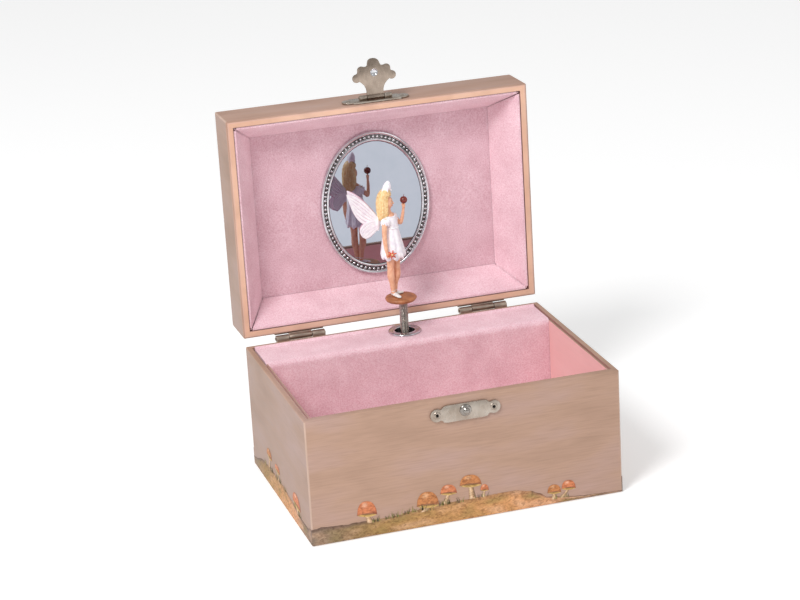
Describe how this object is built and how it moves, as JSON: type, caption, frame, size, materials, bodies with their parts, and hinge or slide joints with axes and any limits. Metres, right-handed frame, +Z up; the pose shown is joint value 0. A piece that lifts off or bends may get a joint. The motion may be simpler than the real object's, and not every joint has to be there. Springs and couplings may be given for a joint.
{
  "type": "wind up music box",
  "caption": "Hinged paper-covered music box with a lined tray, oval lid mirror, winding key, comb movement and a dancing figure on a spring post.",
  "frame": {"origin": "centre of the base's underside", "axes": "+X to the right seen from the front, +Y to the back where the key and the hinges are, +Z up"},
  "size_m": [0.16, 0.1474, 0.2069],
  "materials": {
    "printed_paper": "printed paper over board, lightly varnished",
    "flocked_pink": "flocked, matt",
    "lining_paper": "smooth coloured paper",
    "satin_nickel": "satin nickel plate",
    "chrome": "bright chrome plate",
    "brass": "machined brass",
    "spring_steel": "hardened steel",
    "zinc_casting": "die cast, plain",
    "mirror_glass": "silvered",
    "silvered_plastic": "vacuum metallised",
    "antique_nickel": "antique nickel plate",
    "painted_figure": "hand painted",
    "brown_plastic": "satin"
  },
  "bodies": {
    "case": {"barrel_bridge": "zinc_casting", "base_back_panel": "printed_paper", "base_bottom_panel": "printed_paper", "base_front_panel": "printed_paper", "base_left_panel": "printed_paper", "base_right_panel": "printed_paper", "bedplate_screw_lower": "spring_steel", "bedplate_screw_upper": "spring_steel", "catch_base_plate": "satin_nickel", "catch_knob": "chrome", "catch_nail_left": "satin_nickel", "catch_nail_right": "satin_nickel", "comb": "spring_steel", "comb_screw_lower": "brass", "comb_screw_upper": "brass", "compartment_cover": "flocked_pink", "drum_lower_bearing": "zinc_casting", "figure_spring": "chrome", "governor_frame": "zinc_casting", "hinge_left_base_leaf": "antique_nickel", "hinge_left_pin": "antique_nickel", "hinge_right_base_leaf": "antique_nickel", "hinge_right_pin": "antique_nickel", "movement_bedplate": "zinc_casting", "spindle_grommet": "chrome", "tray_floor_pad": "flocked_pink", "tray_lining_front": "lining_paper", "tray_lining_left": "lining_paper", "tray_lining_right": "lining_paper"},
    "lid": {"lid_front_panel": "printed_paper", "lid_left_panel": "printed_paper", "lid_right_panel": "printed_paper", "lid_back_panel": "printed_paper", "lid_top_panel": "printed_paper", "lid_ceiling_pad": "flocked_pink", "lid_slope_left": "flocked_pink", "lid_slope_right": "flocked_pink", "lid_slope_front": "flocked_pink", "lid_slope_back": "flocked_pink", "mirror_frame": "silvered_plastic", "mirror_glass": "mirror_glass", "hinge_left_lid_leaf": "antique_nickel", "hinge_right_lid_leaf": "antique_nickel", "catch_lid_plate": "satin_nickel", "catch_tongue_pin": "satin_nickel"},
    "tongue": {"catch_tongue": "satin_nickel"},
    "key": {"winding_key": "satin_nickel", "winding_arbor": "spring_steel"},
    "drum": {"drum": "brass", "drum_arbor": "brass", "drum_gear": "brass"},
    "barrel": {"barrel": "brass", "mainspring": "spring_steel"},
    "governor_wheel": {"governor_wheel": "brass"},
    "fan": {"governor_worm": "spring_steel", "governor_fan": "brass"},
    "post_top": {"figure_spring_plug": "chrome"},
    "figure": {"figure_base": "brown_plastic", "figure_body": "painted_figure", "figure_wings": "painted_figure"}
  },
  "joints": [
    {"name": "lid_hinge", "type": "hinge", "parent": "case", "child": "lid", "pos_m": [0, 0.06015, 0.06516], "axis": [1, 0, 0], "range_deg": [0, 90.8]},
    {"name": "catch_hinge", "type": "hinge", "parent": "lid", "child": "tongue", "pos_m": [0, 0.06666, 0.18493], "axis": [1, 0, 0], "range_deg": [-88, 84]},
    {"name": "key_wind", "type": "hinge", "parent": "case", "child": "key", "pos_m": [0.002, 0.0665, 0.016], "axis": [0, 1, 0], "continuous": true},
    {"name": "drum_spin", "type": "hinge", "parent": "case", "child": "drum", "pos_m": [0.002, 0.0446, 0.038], "axis": [0, 0, 1], "continuous": true},
    {"name": "barrel_spin", "type": "hinge", "parent": "case", "child": "barrel", "pos_m": [0.002, 0.0375, 0.016], "axis": [0, 1, 0], "continuous": true},
    {"name": "governor_wheel_spin", "type": "hinge", "parent": "case", "child": "governor_wheel", "pos_m": [0.01, 0.0446, 0.05], "axis": [0, 0, 1], "continuous": true},
    {"name": "fan_spin", "type": "hinge", "parent": "case", "child": "fan", "pos_m": [0.0164, 0.04, 0.052], "axis": [0, 1, 0], "continuous": true},
    {"name": "figure_fold", "type": "hinge", "parent": "case", "child": "post_top", "pos_m": [0.002, 0.0446, 0.0757], "axis": [1, 0, 0], "range_deg": [0, 110], "deforming": ["figure_spring"]},
    {"name": "figure_spin", "type": "hinge", "parent": "post_top", "child": "figure", "pos_m": [0.002, 0.0446, 0.0757], "axis": [0, 0, 1], "continuous": true}
  ],
  "couplings": [
    {"joint": "figure_fold", "follows": "lid_hinge", "ratio": 1.2114},
    {"joint": "figure_spin", "follows": "drum_spin", "ratio": 1},
    {"joint": "barrel_spin", "follows": "drum_spin", "ratio": 0.21053},
    {"joint": "governor_wheel_spin", "follows": "drum_spin", "ratio": -3},
    {"joint": "fan_spin", "follows": "drum_spin", "ratio": 30}
  ]
}
